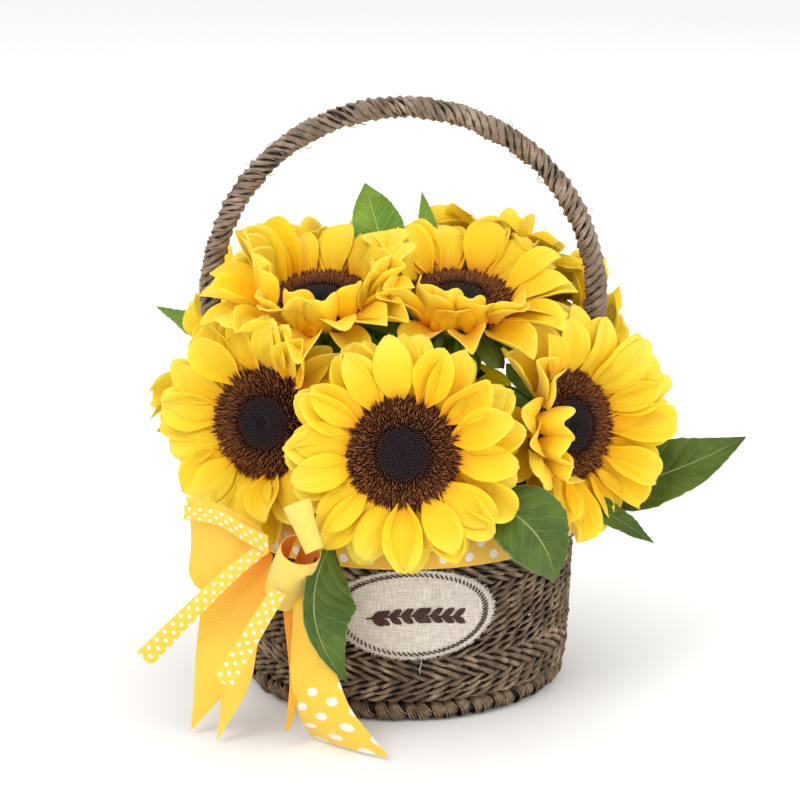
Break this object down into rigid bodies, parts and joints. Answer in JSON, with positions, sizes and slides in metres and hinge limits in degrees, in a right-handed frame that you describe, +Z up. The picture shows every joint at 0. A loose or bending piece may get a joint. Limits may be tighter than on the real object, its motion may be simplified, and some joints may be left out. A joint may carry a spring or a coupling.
{
  "type": "sunflowers in a basket",
  "caption": "Bouquet of cut sunflowers with leaves in a round woven seagrass basket with a tall hoop handle, a ribbon bow and a linen patch.",
  "frame": {"origin": "centre of the basket's underside, on the surface it stands on", "axes": "+Z up, -Y to the front with the linen patch, +X to the right seen from the front; the handle's hoop lies in the XZ plane"},
  "size_m": [0.3157, 0.2663, 0.313],
  "materials": {
    "seagrass": "matte",
    "handle_rope": "matte",
    "liner_plastic": "satin",
    "wet_foam": "matte",
    "seed_disc": "matte",
    "petal": "satin",
    "stem_green": "matte",
    "leaf_young": "satin",
    "leaf_green": "satin",
    "wide_ribbon": "satin",
    "narrow_ribbon": "satin",
    "linen": "matte"
  },
  "bodies": {
    "root": {"basket_wall": "seagrass", "basket_base": "seagrass", "foot_braid": "seagrass", "rim_braid": "seagrass", "handle": "handle_rope", "handle_lashing_left": "handle_rope", "handle_lashing_right": "handle_rope", "liner": "liner_plastic", "floral_foam": "wet_foam", "front_flower_disc": "seed_disc", "front_flower_petals": "petal", "front_flower_stem": "stem_green", "left_flower_disc": "seed_disc", "left_flower_petals": "petal", "left_flower_stem": "stem_green", "right_flower_disc": "seed_disc", "right_flower_petals": "petal", "right_flower_stem": "stem_green", "upper_left_flower_disc": "seed_disc", "upper_left_flower_petals": "petal", "upper_left_flower_stem": "stem_green", "upper_right_flower_disc": "seed_disc", "upper_right_flower_petals": "petal", "upper_right_flower_stem": "stem_green", "back_right_flower_disc": "seed_disc", "back_right_flower_petals": "petal", "back_right_flower_stem": "stem_green", "back_left_flower_disc": "seed_disc", "back_left_flower_petals": "petal", "back_left_flower_stem": "stem_green", "back_middle_flower_disc": "seed_disc", "back_middle_flower_petals": "petal", "back_middle_flower_stem": "stem_green", "back_upper_right_flower_disc": "seed_disc", "back_upper_right_flower_petals": "petal", "back_upper_right_flower_stem": "stem_green", "back_upper_left_flower_disc": "seed_disc", "back_upper_left_flower_petals": "petal", "back_upper_left_flower_stem": "stem_green", "right_large_leaf": "leaf_green", "right_narrow_leaf": "leaf_green", "front_right_leaf": "leaf_green", "front_left_leaf": "leaf_green", "top_leaf": "leaf_young", "top_sliver_leaf": "leaf_young", "left_pale_leaf": "leaf_young", "back_right_leaf": "leaf_green", "back_left_leaf": "leaf_green", "back_hanging_leaf": "leaf_green", "ribbon_band": "wide_ribbon", "bow_knot": "wide_ribbon", "bow_loop_front": "wide_ribbon", "bow_loop_left": "wide_ribbon", "wide_tail_left": "wide_ribbon", "wide_tail_centre": "wide_ribbon", "thin_tail_centre": "wide_ribbon", "narrow_loop_left": "narrow_ribbon", "narrow_tail_left": "narrow_ribbon", "narrow_tail_centre": "narrow_ribbon", "linen_patch": "linen"}
  },
  "joints": []
}
